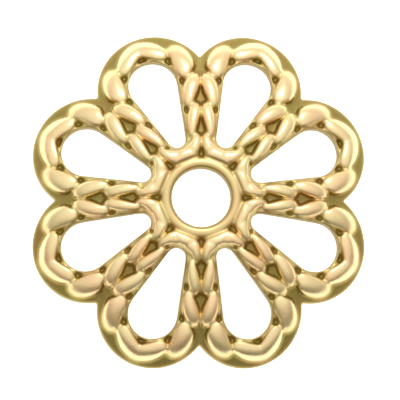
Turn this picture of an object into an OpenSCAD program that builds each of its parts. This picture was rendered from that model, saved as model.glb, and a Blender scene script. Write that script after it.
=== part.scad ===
// Flower bead cap: a shallow domed flower of eight petals round a threading hole,
// struck in one piece from sheet brass and pierced. A raised rope runs round the
// opening of each petal. Its two sides mirror each other, so that each rib between two
// openings carries a row of chevrons that point outwards.
// Millimetres, +Z up. It stands on its petal ends, dome up, and the origin is on the
// axis of the hole, in the plane that it stands on. A rib points along +Y.

/* [Flower] */
// Diameter over the petal ends
flower_d = 9; // [8.6:0.1:9.6]
// Number of petals
petals = 8; // [8:1:10]
// Radius of a petal's round end
petal_r = 1.45; // [1.4:0.05:1.6]

/* [Openings] */
// Radius of the wide end of an opening
wide_r = 0.63; // [0.55:0.01:0.68]
// Distance from the axis to the centre of the wide end
wide_at = 3.15; // [3:0.01:3.2]
// Radius of the narrow end of an opening
narrow_r = 0.24; // [0.1:0.02:0.26]
// Distance from the axis to the centre of the narrow end
narrow_at = 1.62; // [1.5:0.01:1.8]

/* [Hole] */
// Diameter of the threading hole
hole_d = 1.5; // [1.2:0.1:1.6]
// Radius at which the plain collar round the hole meets the ropes
collar_r = 1.05; // [1:0.05:1.1]

/* [Dome] */
// Height of the hollow under the dome
hollow_h = 1.4; // [1:0.1:1.8]
// Width of the flat foot under each petal end
foot_w = 0.2; // [0.1:0.05:0.3]
// Thickness of the sheet, without the ropes
sheet_t = 0.4; // [0.3:0.05:0.6]

/* [Rope] */
// Height of the ropes above the sheet
rope_h = 0.25; // [0.1:0.05:0.35]
// Width of the plain strip between the ropes and the petals' outline
strip_w = 0.12; // [0.06:0.01:0.15]
// Strands of a rope along one rib
rib_strands = 3; // [2:0.5:4]
// Strands of a rope from a petal's tip to the valley beside it
end_strands = 1.5; // [1:0.5:3]

/* [Hidden] */

// How a rope is rounded: [place across it from the opening to its border, share of
// the rope's height there]
rope_section = [[0, 0], [0.08, 0.1], [0.22, 0.75], [0.5, 1], [0.8, 0.8], [1, 0.45]];
// How the collar is rounded: [place across it from the ropes to the hole's wall,
// share of the rope's height there]. The last ring lies inside the hole.
collar_section = [[0.35, 0.85], [0.8, 0.7], [1.2, 0.3]];
// Share of the rope's height that is left at the foot of a groove
groove_share = 0.15;
// How full a strand is between two grooves, from 1 for a sine down to 0 for a step
fullness = 0.6;
// Shares of the rope's height along the strip: at the rope's foot, and at the
// outline, where it is below the sheet's own face
strip_share = 0.05;
outline_share = -0.3;
// Share of the rope's height where the collar starts
collar_share = 0.2;
// How far a groove leans while it crosses its rope, in strands. Its end at the border is
// the one nearer to the petal's tip.
lean = 0.6;
// Facets along one strand
steps = 6;
// Places across the underside, from the opening to the border
under_places = [0, 0.74, 1];

flower_r = flower_d / 2;
hole_r = hole_d / 2;
petal_at = flower_r - petal_r;
rope_r = petal_r - strip_w;
half_angle = 180 / petals;
foot_r = flower_r - foot_w;
dome_r = (pow(foot_r, 2) + pow(hollow_h, 2)) / (2 * hollow_h);

function mix(a, b, t) = a + (b - a) * t;
function polar(r, a) = [r * cos(a), r * sin(a)];
function on_circle(at, r, a) = [at, 0] + polar(r, a);
function turned(p, a) = [p.x * cos(a) - p.y * sin(a), p.x * sin(a) + p.y * cos(a)];

// Where the round ends of two neighbours meet, from the axis and as a turn from the tip
function meeting_r(r) =
    petal_at * cos(half_angle) + sqrt(pow(r, 2) - pow(petal_at * sin(half_angle), 2));
function meeting_turn(r) =
    atan2(meeting_r(r) * sin(half_angle), meeting_r(r) * cos(half_angle) - petal_at);
function petal_end(r, share) = on_circle(petal_at, r, meeting_turn(r) * share);
valley_r = meeting_r(rope_r);

// Places round a petal are counted in strands from the petal's tip: down its end to
// the valley, in along the rib, and half a strand along the collar to its axis
valley_n = end_strands;
collar_n = valley_n + rib_strands;
half_loop = collar_n + 0.5;
strands = 2 * half_loop;
stations = strands * steps;
valley_i = valley_n * steps;
collar_i = collar_n * steps;

// The straight sides of an opening, square across the rope from where they start
side_turn = 90 + asin((wide_r - narrow_r) / (wide_at - narrow_at));
wide_end = on_circle(wide_at, wide_r, side_turn);
narrow_end = on_circle(narrow_at, narrow_r, side_turn);
function rib_n(p) =
    mix(collar_n, valley_n, (p * polar(1, half_angle) - collar_r) / (valley_r - collar_r));
wide_n = rib_n(wide_end);
narrow_n = rib_n(narrow_end);

// Half of an opening's edge, of its rope's border and of the petal's outline, in a
// frame with x along the petal
function opening(n) =
    n < wide_n ? on_circle(wide_at, wide_r, side_turn * n / wide_n) :
    n < narrow_n ? mix(wide_end, narrow_end, (n - wide_n) / (narrow_n - wide_n)) :
    on_circle(narrow_at, narrow_r,
        mix(side_turn, 180, (n - narrow_n) / (half_loop - narrow_n)));
function border(n) =
    n < valley_n ? petal_end(rope_r, n / valley_n) :
    n < collar_n ? polar(mix(valley_r, collar_r, (n - valley_n) / rib_strands), half_angle) :
    polar(collar_r, half_angle * (half_loop - n) / 0.5);
function outline(n) = n <= valley_n ? petal_end(petal_r, n / valley_n) : border(n);

// A point across the rope, or across rope and strip, where each row leans with the
// grooves, less and less towards the petal's axis. The second half of the loop mirrors
// the first.
function across(i, t, with_strip = false) =
    let (
        far = min(i / steps, strands - i / steps),
        n = far + lean * min(1, far, half_loop - far) * (1 - t),
        p = mix(opening(n), with_strip ? outline(n) : border(n), t)
    ) [p.x, 2 * i > stations ? -p.y : p.y];

// Heights of the dome's underside and of its face with a relief on it
function under_z(p) = hollow_h - dome_r + sqrt(pow(dome_r, 2) - p * p);
function face_z(p, relief) =
    under_z(p) + (sheet_t + relief) * dome_r / sqrt(pow(dome_r, 2) - p * p);

// Relief along the rope, whose grooves are counted from the one at the valley, and
// along its border, which is the strip, the rib's middle line or the collar
function strand(i) =
    let (place = (i + stations - valley_i) % steps)
        mix(groove_share, 1, pow(sin(180 * place / steps), fullness));
function border_relief(i, share) =
    let (far = min(i, stations - i) / steps)
        far <= valley_n ? strip_share :
        far <= collar_n ? share * strand(i) :
        collar_share;

// Each station has a column of points: the rope's, the collar's, the outline's and the
// underside's
border_row = len(rope_section) - 1;
hole_row = border_row + len(collar_section);
outline_row = hole_row + 1;
under_row = outline_row + 1;
under_border_row = outline_row + len(under_places);
rows = under_border_row + 1;
centre_top = petals * stations * rows;
centre_under = centre_top + 1;

function at_height(p, z) = [p.x, p.y, z];
function on_face(p, share) = at_height(p, face_z(p, share * rope_h));
function column(i) = [
    for (row = [0 : border_row]) let (t = rope_section[row][0], share = rope_section[row][1])
        on_face(across(i, t), row < border_row ? share * strand(i) : border_relief(i, share)),
    for (ring = collar_section) let (start = across(i, 1), hole = start * hole_r / norm(start))
        on_face(mix(start, hole, ring[0]), ring[1]),
    on_face(across(i, 1, true), outline_share),
    for (t = under_places) let (p = across(i, t, true)) at_height(p, max(0, under_z(p)))
];

function placed(p, k) =
    let (q = turned([p.x, p.y], (2 * k + 1) * half_angle)) [q.x, q.y, p.z];

// Neighbours share the points on the rib between them, where the second half of one
// petal's loop meets the first half of the petal before it, which has the points
function on_last_rib(i) = i >= stations - collar_i && i <= stations - valley_i;
function shared(row) = row >= border_row && row <= outline_row || row == under_border_row;
function id(k, i, row) =
    let (j = i % stations, lent = shared(row) && on_last_rib(j))
        ((lent ? (k + petals - 1) % petals : k) * stations + (lent ? stations - j : j)) * rows
        + row;

function quad(k, i, row_a, row_b) = [
    [id(k, i + 1, row_b), id(k, i, row_b), id(k, i, row_a)],
    [id(k, i + 1, row_a), id(k, i + 1, row_b), id(k, i, row_a)]
];

function petal_faces(k) = [
    for (i = [0 : stations - 1]) each [
        for (row = [0 : border_row - 1]) each quad(k, i, row, row + 1),
        for (row = [under_row : under_border_row - 1]) each quad(k, i, row + 1, row),
        each quad(k, i, under_row, 0)
    ],
    for (i = [-valley_i : valley_i - 1]) each [
        each quad(k, i + stations, border_row, outline_row),
        each quad(k, i + stations, outline_row, under_border_row)
    ],
    for (i = [collar_i : collar_i + steps - 1]) each [
        for (row = [border_row : hole_row - 1]) each quad(k, i, row, row + 1),
        [id(k, i + 1, hole_row), centre_top, id(k, i, hole_row)],
        [centre_under, id(k, i + 1, under_border_row), id(k, i, under_border_row)]
    ]
];

// The struck flower, closed over the middle, before the hole is punched
module struck_flower() {
    columns = [for (i = [0 : stations - 1]) column(i)];
    polyhedron(
        points = [
            for (k = [0 : petals - 1], i = [0 : stations - 1], p = columns[i]) placed(p, k),
            [0, 0, hollow_h + sheet_t],
            [0, 0, hollow_h]
        ],
        faces = [for (k = [0 : petals - 1]) each petal_faces(k)]
    );
}

module flower_cap() {
    color("#d9b768")
        difference() {
            struck_flower();
            cylinder(r = hole_r, h = 2 * (hollow_h + sheet_t + rope_h), $fn = 64);
        }
}

flower_cap();
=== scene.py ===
"""Looks of the flower bead cap: the struck and pierced flower, its gold plating and the studio.

The flower is modelled in millimetres, flat as the die leaves it, then domed and turned to metres.
"""
import math

import bpy
import numpy as np
from mathutils import Matrix, Vector


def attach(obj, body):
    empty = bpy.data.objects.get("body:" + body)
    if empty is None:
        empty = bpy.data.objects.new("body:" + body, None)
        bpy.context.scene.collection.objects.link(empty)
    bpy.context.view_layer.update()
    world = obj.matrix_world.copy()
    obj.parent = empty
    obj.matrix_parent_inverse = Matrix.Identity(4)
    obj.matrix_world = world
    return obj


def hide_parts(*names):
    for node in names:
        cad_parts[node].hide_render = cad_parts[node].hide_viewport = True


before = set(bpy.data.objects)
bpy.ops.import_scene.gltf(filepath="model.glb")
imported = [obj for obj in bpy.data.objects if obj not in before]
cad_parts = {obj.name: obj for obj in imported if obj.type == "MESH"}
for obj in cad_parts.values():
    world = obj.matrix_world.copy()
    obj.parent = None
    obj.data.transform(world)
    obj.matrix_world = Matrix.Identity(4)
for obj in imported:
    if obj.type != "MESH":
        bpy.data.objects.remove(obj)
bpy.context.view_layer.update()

MM = 0.001

# Flower, in millimetres like all that follows: the petals' round ends and where their centres lie
PETALS = 8
FLOWER_R = 4.5
PETAL_R = 1.45
PETAL_AT = FLOWER_R - PETAL_R
HALF_ANGLE = math.pi / PETALS

# The wide and the narrow round end of each opening, and the threading hole with its collar
WIDE_R, WIDE_AT = 0.63, 3.15
NARROW_R, NARROW_AT = 0.24, 1.62
HOLE_R = 0.75
COLLAR_R = 1.05

# Dome: the height of the hollow, the flat feet under the petal ends, and the sheet
HOLLOW_H = 1.4
FOOT_W = 0.2
FOOT_R = FLOWER_R - FOOT_W
DOME_R = (FOOT_R ** 2 + HOLLOW_H ** 2) / (2 * HOLLOW_H)
SHEET_T = 0.4

# The plain strip along the outline, and the thin lip round each opening, rooted in the sheet
STRIP_W = 0.12
LIP_W = 0.05
LIP_H = 0.1
LIP_ROOT = 0.1

# Ropes: their border on the petals' ends, their height, and their strands from a petal's tip to
# the valley beside it, from there to the collar, and along the collar to the petal's axis
ROPE_R = PETAL_R - STRIP_W
ROPE_H = 0.25
END_STRANDS = 1.5
RIB_STRANDS = 3
COLLAR_STRANDS = 0.5

# Strands: a strand is a little wider and longer than its place, so that it meets its neighbours.
# It leans, with its border end nearer to the petal's tip, and tapers from its middle to the
# opening and to the border. The last value leads from a round strand, at 0, to a boxy one, at 1.
STRAND_W = 1.2
STRAND_L = 1.1
LEAN = 0.6
OPENING_TAPER = 0.2
BORDER_TAPER = 0.42
BOXINESS = 0.1

# The crescent strand round the narrow end of each opening, which runs into the collar
CRESCENT_W = 1.4
CRESCENT_L = 1.3
CRESCENT_ACROSS = 0.56

# Meshes: the sides of a round piece, and the distance within which two points are one
ROUND_SIDES = 96
MERGE_GAP = 0.0001

# The voxels that the pieces are fused in, the rounds of smoothing over all and then on the
# sheet's lower edges, the strength of a round, and the share of the faces that is kept
VOXEL = 0.034
SOFTENING = 2
EDGE_SOFTENING = 10
SMOOTHING = 0.5
KEPT_SHARE = 0.62

# Plating: how raised the plain strip counts, so that it is painted a shade between the grooves'
# and the ropes', a dark olive line all round; the patches of one hue to a millimetre; and the
# tumbling marks to a millimetre with their depth. Real marks are a few hundredths of a
# millimetre wide, and these are as wide as they need to be to show.
STRIP_SHADE_RELIEF = 0.14
PATCHES_PER_MM = 1.2
MARKS_PER_MM = 9
MARK_DEPTH = 0.01


# Small helpers

def mix(a, b, t):
    return a + (b - a) * t


def polar(r, angle):
    return Vector((r * math.cos(angle), r * math.sin(angle)))


def deselect():
    if bpy.context.object and bpy.context.object.mode != "OBJECT":
        bpy.ops.object.mode_set(mode="OBJECT")
    bpy.ops.object.select_all(action="DESELECT")


def newest(name):
    obj = bpy.context.object
    obj.name = obj.data.name = name
    return obj


def pick(*objs):
    deselect()
    for obj in objs:
        obj.select_set(True)
    bpy.context.view_layer.objects.active = objs[0]
    return objs[0]


def fix_place():
    bpy.ops.object.transform_apply(location=True, rotation=True, scale=True)


def joined(objs, name):
    whole = pick(*objs)
    bpy.ops.object.join()
    whole.name = whole.data.name = name
    return whole


def finish_with(obj, kind, **settings):
    """Adds a modifier with its settings and applies it."""
    pick(obj)
    modifier = obj.modifiers.new(kind.lower(), kind)
    for name, value in settings.items():
        setattr(modifier, name, value)
    bpy.ops.object.modifier_apply(modifier=modifier.name)


def copy_of(obj, name):
    twin = obj.copy()
    twin.data = obj.data.copy()
    twin.name = twin.data.name = name
    bpy.context.collection.objects.link(twin)
    return twin


# Places round a petal's rope, counted in strands from its tip: down its end to the valley, in
# along the rib, and along the collar to the petal's axis

VALLEY_N = END_STRANDS
COLLAR_N = VALLEY_N + RIB_STRANDS
HALF_LOOP = COLLAR_N + COLLAR_STRANDS
VALLEY_R = (PETAL_AT * math.cos(HALF_ANGLE)
            + math.sqrt(ROPE_R ** 2 - (PETAL_AT * math.sin(HALF_ANGLE)) ** 2))
VALLEY = polar(VALLEY_R, HALF_ANGLE)
VALLEY_TURN = math.atan2(VALLEY.y, VALLEY.x - PETAL_AT)
SIDE_TURN = math.pi / 2 + math.asin((WIDE_R - NARROW_R) / (WIDE_AT - NARROW_AT))


def on_circle(at, r, angle):
    return Vector((at, 0)) + polar(r, angle)


# Where the straight side of a lip starts and ends
WIDE_END = on_circle(WIDE_AT, WIDE_R + LIP_W, SIDE_TURN)
NARROW_END = on_circle(NARROW_AT, NARROW_R + LIP_W, SIDE_TURN)


def rib_n(p):
    out = (p.dot(polar(1, HALF_ANGLE)) - COLLAR_R) / (VALLEY_R - COLLAR_R)
    return mix(COLLAR_N, VALLEY_N, out)


WIDE_N = rib_n(WIDE_END)
NARROW_N = rib_n(NARROW_END)


def opening_half(n):
    """A place on the lip round an opening, where the rope starts."""
    if n < WIDE_N:
        return on_circle(WIDE_AT, WIDE_R + LIP_W, SIDE_TURN * n / WIDE_N)
    if n < NARROW_N:
        return mix(WIDE_END, NARROW_END, (n - WIDE_N) / (NARROW_N - WIDE_N))
    return on_circle(NARROW_AT, NARROW_R + LIP_W,
                     mix(SIDE_TURN, math.pi, (n - NARROW_N) / (HALF_LOOP - NARROW_N)))


def border_half(n):
    """A place on the rope's border: the strip, the middle of the rib or the collar."""
    if n < VALLEY_N:
        return on_circle(PETAL_AT, ROPE_R, VALLEY_TURN * n / VALLEY_N)
    if n < COLLAR_N:
        return polar(mix(VALLEY_R, COLLAR_R, (n - VALLEY_N) / RIB_STRANDS), HALF_ANGLE)
    return polar(COLLAR_R, HALF_ANGLE * (HALF_LOOP - n) / COLLAR_STRANDS)


def round_petal(half, n):
    """A place on the half loop, or past its ends on the other half, which mirrors it."""
    p = half(min(abs(n), 2 * HALF_LOOP - abs(n)))
    return p if 0 <= n <= HALF_LOOP else Vector((p.x, -p.y))


# The pierced blank

def disc(r, at, angle, levels, name):
    centre = polar(at, angle)
    bottom, top = levels
    deselect()
    bpy.ops.mesh.primitive_cylinder_add(vertices=ROUND_SIDES, radius=r, depth=top - bottom,
                                        location=(centre.x, centre.y, (bottom + top) / 2))
    fix_place()
    return newest(name)


def teardrop(angle, grown, levels, name):
    """The shape of an opening, grown all round: the hull of its two round ends."""
    drop = joined([disc(WIDE_R + grown, WIDE_AT, angle, levels, name),
                   disc(NARROW_R + grown, NARROW_AT, angle, levels, name)], name)
    bpy.ops.object.mode_set(mode="EDIT")
    bpy.ops.mesh.select_all(action="SELECT")
    bpy.ops.mesh.convex_hull()
    bpy.ops.object.mode_set(mode="OBJECT")
    return drop


def petal_angle(k):
    return (2 * k + 1) * HALF_ANGLE


def pierced_blank():
    """The flat sheet cut to the flower's outline, lipped round its openings, and pierced."""
    sheet = (0, SHEET_T)
    lip = (LIP_ROOT, SHEET_T + LIP_H)
    through = (-SHEET_T, 2 * SHEET_T)
    angles = [petal_angle(k) for k in range(PETALS)]
    blank = disc(PETAL_AT, 0, 0, sheet, "blank")
    petals = joined([disc(PETAL_R, PETAL_AT, angle, sheet, "petal") for angle in angles]
                    + [teardrop(angle, LIP_W, lip, "lip") for angle in angles], "petals")
    finish_with(blank, "BOOLEAN", operation="UNION", object=petals, use_self=True)
    cutters = joined([teardrop(angle, 0, through, "opening") for angle in angles]
                     + [disc(HOLE_R, 0, 0, through, "hole")], "cutters")
    finish_with(blank, "BOOLEAN", operation="DIFFERENCE", object=cutters)
    for used in (petals, cutters):
        bpy.data.objects.remove(used)
    return blank


# The ropes, first laid straight: X counts the strands, Y runs from the opening to the border, and
# Z is the share of the rope's height

def strand(n, across, width, length, lean, name):
    """One strand of the straight rope: a leaf shape round the point (n, across)."""
    deselect()
    bpy.ops.mesh.primitive_uv_sphere_add(segments=32, ring_count=20, radius=1)
    leaf = newest(name)
    finish_with(leaf, "CAST", cast_type="CUBOID", factor=BOXINESS)
    leaf.scale = (width / 2, length / 2, 1)
    fix_place()
    for vertex in leaf.data.vertices:
        x, y, _ = vertex.co
        taper = BORDER_TAPER if y > 0 else OPENING_TAPER
        vertex.co.x = n + x * (1 - taper * abs(2 * y / length)) - lean * y
        vertex.co.y = across + y
    return leaf


def straight_rope():
    """The strands of half a petal. The first one's border end lies on the petal's tip."""
    rope = strand(LEAN / 2, 0.5, STRAND_W, STRAND_L, LEAN, "rope")
    finish_with(rope, "ARRAY", count=round(HALF_LOOP), use_relative_offset=False,
                use_constant_offset=True, constant_offset_displace=(1, 0, 0))
    return rope


def bent(straight, side):
    """A copy bent round the opening of a petal, on its left side or mirrored to its right."""
    rope = copy_of(straight, "rope")
    for vertex in rope.data.vertices:
        n, across, share = vertex.co
        p = mix(round_petal(opening_half, n), round_petal(border_half, n), across)
        vertex.co = (p.x, side * p.y, SHEET_T + share * ROPE_H)
    return rope


def ropes():
    strands = straight_rope()
    crescent = strand(HALF_LOOP, CRESCENT_ACROSS, CRESCENT_W, CRESCENT_L, 0, "crescent")
    rope = joined([bent(strands, 1), bent(strands, -1), bent(crescent, 1)], "rope")
    copies = []
    for k in range(PETALS):
        twin = copy_of(rope, "rope")
        twin.rotation_euler.z = petal_angle(k)
        copies.append(twin)
    pick(*copies)
    fix_place()
    for used in (strands, crescent, rope):
        bpy.data.objects.remove(used)
    return copies


def collar():
    ring_r = (HOLE_R + COLLAR_R) / 2
    wire_r = (COLLAR_R - HOLE_R) / 2
    deselect()
    bpy.ops.mesh.primitive_torus_add(major_segments=128, minor_segments=24, major_radius=ring_r,
                                     minor_radius=wire_r, location=(0, 0, SHEET_T))
    fix_place()
    return newest("collar")


# The struck flower

def recalculate(obj):
    pick(obj)
    bpy.ops.object.mode_set(mode="EDIT")
    bpy.ops.mesh.select_all(action="SELECT")
    bpy.ops.mesh.remove_doubles(threshold=MERGE_GAP)
    bpy.ops.mesh.normals_make_consistent(inside=False)
    bpy.ops.object.mode_set(mode="OBJECT")


def points_of(obj):
    points = np.empty(3 * len(obj.data.vertices))
    obj.data.vertices.foreach_get("co", points)
    return points.reshape(-1, 3)


def soften_edges(flower):
    """Rounds the lower edges, as tumbling does: the lower half of the sheet fully, and less and
    less from there up to its face, so that the ropes stay sharp.
    """
    group = flower.vertex_groups.new(name="sheet")
    for index, height in enumerate(points_of(flower)[:, 2]):
        group.add([index], float(np.clip(2 - 2 * height / SHEET_T, 0, 1)), "REPLACE")
    finish_with(flower, "SMOOTH", factor=SMOOTHING, iterations=EDGE_SOFTENING,
                vertex_group="sheet")
    flower.vertex_groups.clear()


def hollow(points):
    """The height of the hollow over each point, and the cosine of its slope there."""
    root = np.sqrt(DOME_R ** 2 - points[:, 0] ** 2 - points[:, 1] ** 2)
    return HOLLOW_H - DOME_R + root, root / DOME_R


def dome(flower):
    """Bends the flat flower to the dome, with the petal ends flat where they stand."""
    points = points_of(flower)
    height = points[:, 2].copy()
    under, slope = hollow(points)
    foot = np.maximum(under, 0)
    face = under + SHEET_T / slope
    in_sheet = foot + (face - foot) * height / SHEET_T
    points[:, 2] = np.where(height < SHEET_T, in_sheet, under + height / slope)
    flower.data.vertices.foreach_set("co", points.ravel())
    flower.data.update()


def past_ropes(points):
    """How far each point lies out in the plain strip along the outline, from 0 to 1."""
    centres = [polar(PETAL_AT, petal_angle(k)) for k in range(PETALS)]
    nearest = np.min([np.hypot(points[:, 0] - c.x, points[:, 1] - c.y) for c in centres], axis=0)
    out = np.clip((nearest - ROPE_R) / STRIP_W, 0, 1)
    return np.where(np.hypot(points[:, 0], points[:, 1]) > PETAL_AT, out, 0)


def keep_relief(flower):
    """Keeps each point's height above the sheet, from 0 to 1, for the plating's colours, which paint
    shade into the grooves, darkest at their bottoms. The strip along the outline counts as a little
    raised, so that it is painted a shade lighter than the grooves, a dark olive line all round.
    """
    points = points_of(flower)
    under, slope = hollow(points)
    relief = np.clip(((points[:, 2] - under) * slope - SHEET_T) / ROPE_H, 0, 1)
    # Painted shade on the plain strip: its relief share sets its dark olive tone
    relief = np.maximum(relief, STRIP_SHADE_RELIEF * past_ropes(points))
    attribute = flower.data.attributes.new("relief", "FLOAT", "POINT")
    attribute.data.foreach_set("value", relief)


def to_metres(obj):
    pick(obj)
    obj.scale = (MM, MM, MM)
    fix_place()


def struck_flower():
    """The blank, the collar and the ropes fused to one mesh, softened and domed."""
    flower = joined([pierced_blank(), collar(), *ropes()], "struck_flower")
    recalculate(flower)
    finish_with(flower, "REMESH", mode="VOXEL", voxel_size=VOXEL)
    finish_with(flower, "SMOOTH", factor=SMOOTHING, iterations=SOFTENING)
    soften_edges(flower)
    dome(flower)
    finish_with(flower, "DECIMATE", ratio=KEPT_SHARE)
    keep_relief(flower)
    to_metres(flower)
    bpy.ops.object.shade_smooth()
    return flower


# Materials

def linear(hex_colour):
    """An sRGB hex colour as a linear one, with alpha."""
    parts = [int(hex_colour[i:i + 2], 16) / 255 for i in (1, 3, 5)]
    return [c / 12.92 if c <= 0.04045 else ((c + 0.055) / 1.055) ** 2.4 for c in parts] + [1]


def node(tree, kind, links=None, stops=None, **settings):
    """Adds a node, sets its properties, inputs and colour stops, and links its inputs."""
    made = tree.nodes.new(kind)
    for name, value in settings.items():
        if hasattr(made, name):
            setattr(made, name, value)
        else:
            made.inputs[name.replace("_", " ")].default_value = value
    if stops:
        elements = made.color_ramp.elements
        while len(elements) < len(stops):
            elements.new(0.5)
        for element, (position, colour) in zip(elements, stops.items()):
            element.position, element.color = position, linear(colour)
    for socket, source in (links or {}).items():
        tree.links.new(source, made.inputs[socket])
    return made


def new_material(name):
    material = bpy.data.materials.new(name)
    material.use_nodes = True
    material.node_tree.nodes.clear()
    return material, material.node_tree


def gold_plated_brass():
    """Brass, struck, tumbled and gold-plated. Tumbling polishes what stands out, so the ropes are
    glossy and the grooves duller. The grooves are also painted a darker olive as shade, darkest
    at their bottoms, and the ropes pale. The plating's hue drifts a little between greenish and
    reddish gold.
    """
    material, tree = new_material("gold_plated_struck_brass")
    place = node(tree, "ShaderNodeTexCoord").outputs["Object"]
    relief = node(tree, "ShaderNodeAttribute", attribute_name="relief").outputs["Fac"]
    # Painted shade: the plating darkens to olive the lower a point lies in the relief, darkest at
    # the groove bottoms
    tone = node(tree, "ShaderNodeValToRGB", {"Fac": relief},
                {0.0: "#9A8C52", 0.3: "#BEAE72", 0.5: "#DCCA94", 0.8: "#F5E2B6"})
    patches = node(tree, "ShaderNodeTexNoise", {"Vector": place}, Scale=PATCHES_PER_MM / MM,
                   Detail=2.0)
    hues = node(tree, "ShaderNodeValToRGB", {"Fac": patches.outputs["Fac"]},
                {0.38: "#FAF8E8", 0.62: "#FFEFE4"})
    # A colour mix has its two colours on inputs 6 and 7 and its result on output 2
    gold = node(tree, "ShaderNodeMix", {6: tone.outputs["Color"], 7: hues.outputs["Color"]},
                data_type="RGBA", blend_type="MULTIPLY", Factor=1.0)
    marks = node(tree, "ShaderNodeTexNoise", {"Vector": place}, Scale=MARKS_PER_MM / MM,
                 Detail=3.0)
    bump = node(tree, "ShaderNodeBump", {"Height": marks.outputs["Fac"]},
                Strength=0.2, Distance=MARK_DEPTH * MM)
    rough = node(tree, "ShaderNodeMapRange", {"Value": relief}, To_Min=0.5, To_Max=0.27)
    shader = node(tree, "ShaderNodeBsdfPrincipled",
                  {"Base Color": gold.outputs[2], "Roughness": rough.outputs["Result"],
                   "Normal": bump.outputs["Normal"]}, Metallic=1.0)
    node(tree, "ShaderNodeOutputMaterial", {"Surface": shader.outputs["BSDF"]})
    return material


def opal_acrylic():
    """The cast acrylic of a light table, matt and lit a little from below, so that it stays pale."""
    material, tree = new_material("opal_acrylic")
    shader = node(tree, "ShaderNodeBsdfPrincipled", Base_Color=linear("#F4F4F2"), Roughness=0.6,
                  Emission_Color=linear("#FFFFFF"), Emission_Strength=0.85)
    node(tree, "ShaderNodeOutputMaterial", {"Surface": shader.outputs["BSDF"]})
    return material


# Studio: the camera looks almost straight down at the middle of the cap

CENTRE = Vector((0, 0, 1.0)) * MM
VIEW_AZIMUTH = math.radians(-29)
VIEW_ELEVATION = math.radians(84.5)
VIEW_DISTANCE = 80 * MM
FRAME_WIDTH = 10.2 * MM
NEAREST_SEEN = 1 * MM
SENSOR = 36

# The light table, and the way from the cap to the brightest part of the tent
TABLE_WIDTH = 600 * MM
BRIGHTEST_WAY = (0, 0.4, 0.917)


def studio_camera():
    level = math.cos(VIEW_ELEVATION)
    back = Vector((level * math.sin(VIEW_AZIMUTH), -level * math.cos(VIEW_AZIMUTH),
                   math.sin(VIEW_ELEVATION)))
    right = Vector((0, 1, 0)).cross(back).normalized()
    up = back.cross(right)
    bpy.ops.object.camera_add()
    camera = bpy.context.object
    camera.name = "camera"
    turn = Matrix((right, up, back)).transposed().to_4x4()
    camera.matrix_world = Matrix.Translation(CENTRE + back * VIEW_DISTANCE) @ turn
    camera.data.sensor_width = SENSOR
    camera.data.lens = SENSOR * VIEW_DISTANCE / FRAME_WIDTH
    camera.data.clip_start = NEAREST_SEEN
    bpy.context.scene.camera = camera


def soft_box(name, place, size, power):
    """A square soft lamp that points at the cap, with its place and size in millimetres."""
    bpy.ops.object.light_add(type="AREA", location=Vector(place) * MM)
    light = bpy.context.object
    light.name = name
    light.data.shape = "SQUARE"
    light.data.size = size * MM
    light.data.energy = power
    light.rotation_euler = (CENTRE - light.location).to_track_quat("-Z", "Y").to_euler()


def light_tent():
    """A white tent, lit from overhead and a little from the back, and dim towards its foot."""
    world = bpy.data.worlds.new("light_tent")
    world.use_nodes = True
    tree = world.node_tree
    tree.nodes.clear()
    place = node(tree, "ShaderNodeTexCoord").outputs["Generated"]
    towards_lamp = node(tree, "ShaderNodeVectorMath", {0: place}, operation="DOT_PRODUCT")
    towards_lamp.inputs[1].default_value = BRIGHTEST_WAY
    nearness = node(tree, "ShaderNodeMapRange", {"Value": towards_lamp.outputs["Value"]},
                    From_Min=-1.0)
    tone = node(tree, "ShaderNodeValToRGB", {"Fac": nearness.outputs["Result"]},
                {0.36: "#2A261E", 0.56: "#B0AA9E", 0.72: "#E8E4DE", 0.9: "#FFFFFF"})
    sky = node(tree, "ShaderNodeBackground", {"Color": tone.outputs["Color"]}, Strength=1.1)
    node(tree, "ShaderNodeOutputWorld", {"Surface": sky.outputs["Background"]})
    bpy.context.scene.world = world


def studio():
    deselect()
    bpy.ops.mesh.primitive_plane_add(size=TABLE_WIDTH)
    floor = newest("floor")
    floor.data.materials.append(opal_acrylic())
    light_tent()
    soft_box("key_light", place=(10, 70, 80), size=60, power=0.03)
    bpy.context.scene.view_settings.view_transform = "Standard"


flower = struck_flower()
flower.data.materials.append(gold_plated_brass())
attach(flower, "root")
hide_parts("flower_cap")

studio()
studio_camera()
